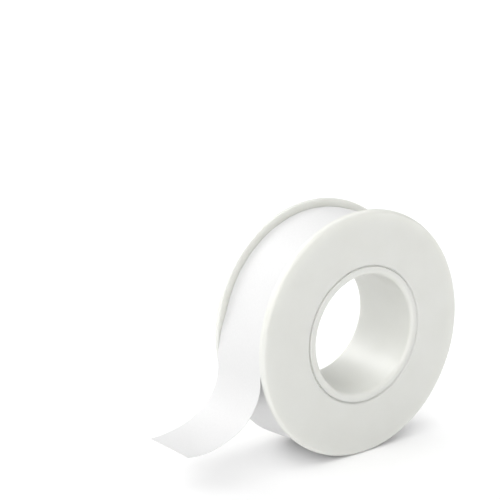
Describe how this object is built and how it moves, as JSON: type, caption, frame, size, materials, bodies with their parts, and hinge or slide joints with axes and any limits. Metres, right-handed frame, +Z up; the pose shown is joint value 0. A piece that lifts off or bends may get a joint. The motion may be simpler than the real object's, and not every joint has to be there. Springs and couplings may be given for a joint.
{
  "type": "thread seal tape roll",
  "caption": "Open spool of white thread seal tape: thin round flanges on a short bored tube, tape wound between them and its free end curling off one side.",
  "frame": {"origin": "middle of the bore, on its axis", "axes": "+Z up with the roll standing on its rims, Y along the bore with the front flange towards -Y, and the free end of the tape towards -X"},
  "size_m": [0.0576, 0.0144, 0.044],
  "materials": {
    "spool_plastic": "satin moulded off-white plastic",
    "tape": "soft white film with a faint sheen"
  },
  "bodies": {
    "tape_end": {"outer_turn": "tape", "free_end": "tape"},
    "spool": {"core_tube": "spool_plastic", "front_flange": "spool_plastic", "rear_flange": "spool_plastic", "wound_tape": "tape"}
  },
  "joints": [
    {"name": "spool_spin", "type": "hinge", "parent": "tape_end", "child": "spool", "pos_m": [0, 0, 0], "axis": [0, -1, 0], "continuous": true}
  ]
}
